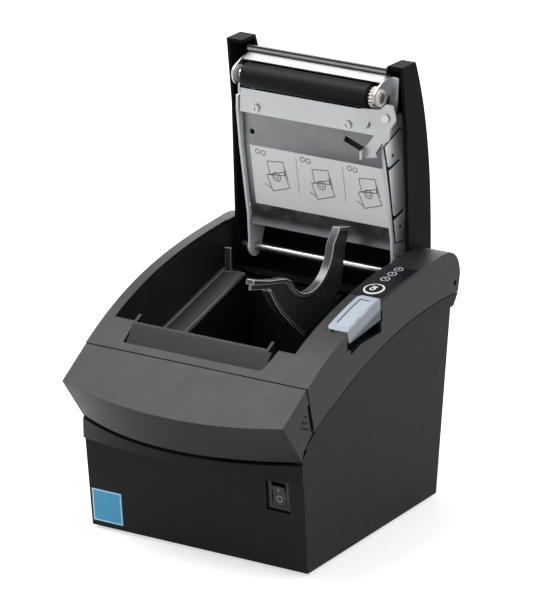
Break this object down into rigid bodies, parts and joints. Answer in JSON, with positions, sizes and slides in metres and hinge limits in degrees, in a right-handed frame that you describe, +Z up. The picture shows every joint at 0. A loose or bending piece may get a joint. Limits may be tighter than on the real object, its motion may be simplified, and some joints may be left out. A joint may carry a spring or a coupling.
{
  "type": "receipt printer",
  "caption": "Desktop receipt printer: boxy body with a sloping hood, roll bay and a hinged top cover that carries the rubber platen roller.",
  "frame": {"origin": "on the desk under the middle of the printer's width and depth", "axes": "+X to the printer's right seen from the front, +Y to the back, +Z up"},
  "size_m": [0.145, 0.1978, 0.2521],
  "materials": {
    "case_black": "fine moulded texture",
    "cover_black": "fine moulded texture",
    "inner_black": "smooth moulded",
    "panel_gloss": "gloss",
    "lamp_clear": "clear moulded",
    "release_blue": "translucent satin",
    "switch_black": "satin",
    "sticker_blue": "printed film",
    "label_white": "printed paper",
    "foot_rubber": "matt",
    "platen_rubber": "ground",
    "sheet_steel": "galvanised",
    "blade_steel": "ground",
    "frame_grey": "satin",
    "bright_steel": "polished",
    "bearing_nylon": "smooth",
    "pinion_brass": "machined",
    "motor_can": "satin",
    "head_ceramic": "fired",
    "heatsink_alloy": "cast",
    "board_green": "solder mask",
    "chip_black": "moulded",
    "port_shell": "plated"
  },
  "bodies": {
    "chassis": {"lower_case": "case_black", "rubber_feet": "foot_rubber", "top_case": "case_black", "paper_bucket": "inner_black", "side_tray": "inner_black", "paper_guide": "inner_black", "hinge_shaft": "bright_steel", "hinge_bushes": "inner_black", "head_springs": "bright_steel", "mech_frame": "sheet_steel", "cutter_frame": "sheet_steel", "cutter_motor": "motor_can", "feed_motor": "motor_can", "gear_plate": "sheet_steel", "main_board": "board_green", "board_parts": "chip_black", "interface_card": "board_green", "rear_ports": "port_shell", "panel_insert": "panel_gloss", "led_lenses": "lamp_clear", "switch_housing": "switch_black", "front_sticker": "sticker_blue"},
    "hood": {"cutter_cover": "case_black"},
    "cover": {"cover_shell": "cover_black", "cover_lip": "inner_black", "cover_frame": "frame_grey", "guide_plate": "sheet_steel", "mount_plate": "sheet_steel", "instruction_label": "label_white", "fixed_blade": "blade_steel", "bracket_left": "sheet_steel", "bracket_right": "sheet_steel", "platen_bearings": "bearing_nylon", "side_strip": "sheet_steel", "cover_screws": "bright_steel", "lever_rivet": "bright_steel"},
    "platen": {"platen_roller": "platen_rubber", "platen_shaft": "bright_steel", "platen_gear": "bearing_nylon"},
    "latch": {"latch_lever": "sheet_steel"},
    "roll_partition": {"partition": "inner_black"},
    "release": {"release_button": "release_blue"},
    "feed_key": {"feed_button": "panel_gloss"},
    "rocker": {"power_rocker": "switch_black"},
    "head": {"print_head": "head_ceramic", "head_heatsink": "heatsink_alloy"},
    "blade": {"moving_blade": "blade_steel"},
    "cutter_drive": {"cutter_pinion": "bearing_nylon"},
    "drive_pinion": {"motor_pinion": "pinion_brass"},
    "idler": {"idler_gear": "bearing_nylon"}
  },
  "joints": [
    {"name": "hood_slide", "type": "slide", "parent": "chassis", "child": "hood", "axis": [0, -1, 0], "range_m": [0, 0.03]},
    {"name": "cover_hinge", "type": "hinge", "parent": "chassis", "child": "cover", "pos_m": [0, 0.082, 0.1256], "axis": [1, 0, 0], "range_deg": [0, 93.2]},
    {"name": "platen_spin", "type": "hinge", "parent": "cover", "child": "platen", "pos_m": [0, 0.06524, 0.23431], "axis": [1, 0, 0], "continuous": true},
    {"name": "latch_pivot", "type": "hinge", "parent": "cover", "child": "latch", "pos_m": [0.0448, 0.06409, 0.22355], "axis": [0, 0.9984, -0.0558], "range_deg": [-12, 0], "stiffness_Nm_per_rad": 0.2, "springref_deg": 5.73},
    {"name": "partition_slide", "type": "slide", "parent": "chassis", "child": "roll_partition", "axis": [0, 0, 1], "range_m": [-0.0621, 0]},
    {"name": "release_press", "type": "slide", "parent": "chassis", "child": "release", "axis": [0, 0, -1], "range_m": [0, 0.003], "stiffness_N_per_m": 300, "springref_m": -0.001},
    {"name": "feed_press", "type": "slide", "parent": "chassis", "child": "feed_key", "axis": [0, 0, -1], "range_m": [0, 0.0006], "stiffness_N_per_m": 800, "springref_m": -0.0003},
    {"name": "rocker_tilt", "type": "hinge", "parent": "chassis", "child": "rocker", "pos_m": [0.0545, -0.0614, 0.04663], "axis": [1, 0, 0], "range_deg": [-10, 0]},
    {"name": "head_pivot", "type": "hinge", "parent": "chassis", "child": "head", "pos_m": [0, -0.0359, 0.0838], "axis": [1, 0, 0], "range_deg": [0, 1.2], "stiffness_Nm_per_rad": 5, "springref_deg": -2.86},
    {"name": "cutter_spin", "type": "hinge", "parent": "chassis", "child": "cutter_drive", "pos_m": [0.023, -0.06922, 0.09889], "axis": [0, -0.518, 0.8554], "range_deg": [0, 83.6]},
    {"name": "blade_slide", "type": "slide", "parent": "chassis", "child": "blade", "axis": [0, 0.8554, 0.518], "range_m": [0, 0.007]},
    {"name": "motor_spin", "type": "hinge", "parent": "chassis", "child": "drive_pinion", "pos_m": [0.0371, -0.016, 0.07592], "axis": [1, 0, 0], "continuous": true},
    {"name": "idler_spin", "type": "hinge", "parent": "chassis", "child": "idler", "pos_m": [0.0371, -0.0206, 0.08765], "axis": [1, 0, 0], "continuous": true}
  ],
  "couplings": [
    {"joint": "partition_slide", "follows": "cover_hinge", "m_per_rad": -0.038115},
    {"joint": "cutter_spin", "follows": "blade_slide", "rad_per_m": 208.33},
    {"joint": "idler_spin", "follows": "motor_spin", "ratio": -0.4}
  ]
}
